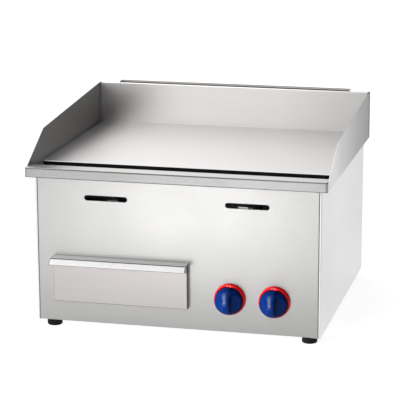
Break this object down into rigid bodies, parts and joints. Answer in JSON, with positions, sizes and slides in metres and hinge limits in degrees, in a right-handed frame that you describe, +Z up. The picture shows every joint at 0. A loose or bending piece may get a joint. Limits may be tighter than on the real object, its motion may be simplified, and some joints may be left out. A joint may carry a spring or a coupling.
{
  "type": "flat top griddle",
  "caption": "Countertop gas griddle with a flat steel plate, splash guards, rear flue, grease gutter and drawer, and domed burner knobs in ringed bezels.",
  "frame": {"origin": "centre of the footprint, on the level the feet stand on", "axes": "+X to the user's right, +Y from the front to the back, +Z up"},
  "size_m": [0.55, 0.542, 0.379],
  "materials": {
    "body_steel": "brushed stainless sheet",
    "base_steel": "galvanised sheet",
    "top_steel": "fine brushed stainless sheet",
    "plate_steel": "ground steel plate",
    "drawer_steel": "satin stainless sheet",
    "handle_steel": "polished stainless sheet",
    "inner_steel": "zinc-plated steel",
    "burner_iron": "blackened steel",
    "shutter_zinc": "bright plated",
    "brass": "machined",
    "gas_tube": "drawn tube",
    "steel_pipe": "painted pipe",
    "spring_steel": "bright steel",
    "bezel_red": "gloss moulded",
    "knob_blue": "gloss moulded",
    "rubber": "moulded rubber",
    "screw_zinc": "zinc plated"
  },
  "bodies": {
    "body": {"front_panel": "body_steel", "left_side_panel": "body_steel", "right_side_panel": "body_steel", "rear_panel": "body_steel", "base_pan": "base_steel", "front_surround": "top_steel", "left_splash_guard": "top_steel", "right_splash_guard": "top_steel", "rear_splash": "top_steel", "flue_duct": "top_steel", "grease_gutter": "top_steel", "drain_pipe": "top_steel", "griddle_plate": "plate_steel", "left_plate_rail": "inner_steel", "right_plate_rail": "inner_steel", "combustion_box": "inner_steel", "front_burner_bar": "inner_steel", "rear_burner_bar": "inner_steel", "drawer_heat_shield": "inner_steel", "left_drawer_runner": "inner_steel", "right_drawer_runner": "inner_steel", "runner_brackets": "inner_steel", "left_injector_holder": "inner_steel", "right_injector_holder": "inner_steel", "left_burner": "burner_iron", "right_burner": "burner_iron", "left_injector": "brass", "right_injector": "brass", "left_valve": "brass", "right_valve": "brass", "left_valve_bonnet": "brass", "right_valve_bonnet": "brass", "inlet_fitting": "brass", "inlet_locknut": "brass", "left_gas_pipe": "gas_tube", "right_gas_pipe": "gas_tube", "gas_manifold": "steel_pipe", "supply_pipe": "steel_pipe", "left_valve_spring": "spring_steel", "right_valve_spring": "spring_steel", "left_bezel": "bezel_red", "right_bezel": "bezel_red", "rubber_feet": "rubber", "rear_panel_screws": "screw_zinc", "foot_screws": "screw_zinc", "bezel_screws": "screw_zinc", "bonnet_screws": "screw_zinc"},
    "drawer": {"drawer_tray": "drawer_steel", "drawer_front": "drawer_steel", "drawer_handle": "handle_steel"},
    "left_push": {"left_spring_cup": "spring_steel"},
    "left_dial": {"left_knob": "knob_blue", "left_valve_stem": "spring_steel"},
    "left_cock": {"left_valve_plug": "brass"},
    "left_shutter": {"left_air_shutter": "shutter_zinc"},
    "right_push": {"right_spring_cup": "spring_steel"},
    "right_dial": {"right_knob": "knob_blue", "right_valve_stem": "spring_steel"},
    "right_cock": {"right_valve_plug": "brass"},
    "right_shutter": {"right_air_shutter": "shutter_zinc"}
  },
  "joints": [
    {"name": "drawer_slide", "type": "slide", "parent": "body", "child": "drawer", "axis": [0, -1, 0], "range_m": [0, 0.3]},
    {"name": "left_knob_push", "type": "slide", "parent": "body", "child": "left_push", "axis": [0, 1, 0], "range_m": [0, 0.003], "stiffness_N_per_m": 2500, "springref_m": -0.001, "deforming": ["left_valve_spring"]},
    {"name": "left_knob_turn", "type": "hinge", "parent": "left_push", "child": "left_dial", "pos_m": [0.0985, -0.2325, 0.0784], "axis": [0, -1, 0], "range_deg": [0, 180]},
    {"name": "left_cock_turn", "type": "hinge", "parent": "body", "child": "left_cock", "pos_m": [0.0985, -0.201, 0.0784], "axis": [0, -1, 0], "range_deg": [0, 180]},
    {"name": "left_shutter_turn", "type": "hinge", "parent": "body", "child": "left_shutter", "pos_m": [-0.125, -0.171, 0.225], "axis": [0, 1, 0], "range_deg": [0, 60]},
    {"name": "right_knob_push", "type": "slide", "parent": "body", "child": "right_push", "axis": [0, 1, 0], "range_m": [0, 0.003], "stiffness_N_per_m": 2500, "springref_m": -0.001, "deforming": ["right_valve_spring"]},
    {"name": "right_knob_turn", "type": "hinge", "parent": "right_push", "child": "right_dial", "pos_m": [0.1795, -0.2325, 0.0784], "axis": [0, -1, 0], "range_deg": [0, 180]},
    {"name": "right_cock_turn", "type": "hinge", "parent": "body", "child": "right_cock", "pos_m": [0.1795, -0.201, 0.0784], "axis": [0, -1, 0], "range_deg": [0, 180]},
    {"name": "right_shutter_turn", "type": "hinge", "parent": "body", "child": "right_shutter", "pos_m": [0.125, -0.171, 0.225], "axis": [0, 1, 0], "range_deg": [0, 60]}
  ],
  "couplings": [
    {"joint": "left_cock_turn", "follows": "left_knob_turn", "ratio": 1},
    {"joint": "right_cock_turn", "follows": "right_knob_turn", "ratio": 1}
  ]
}
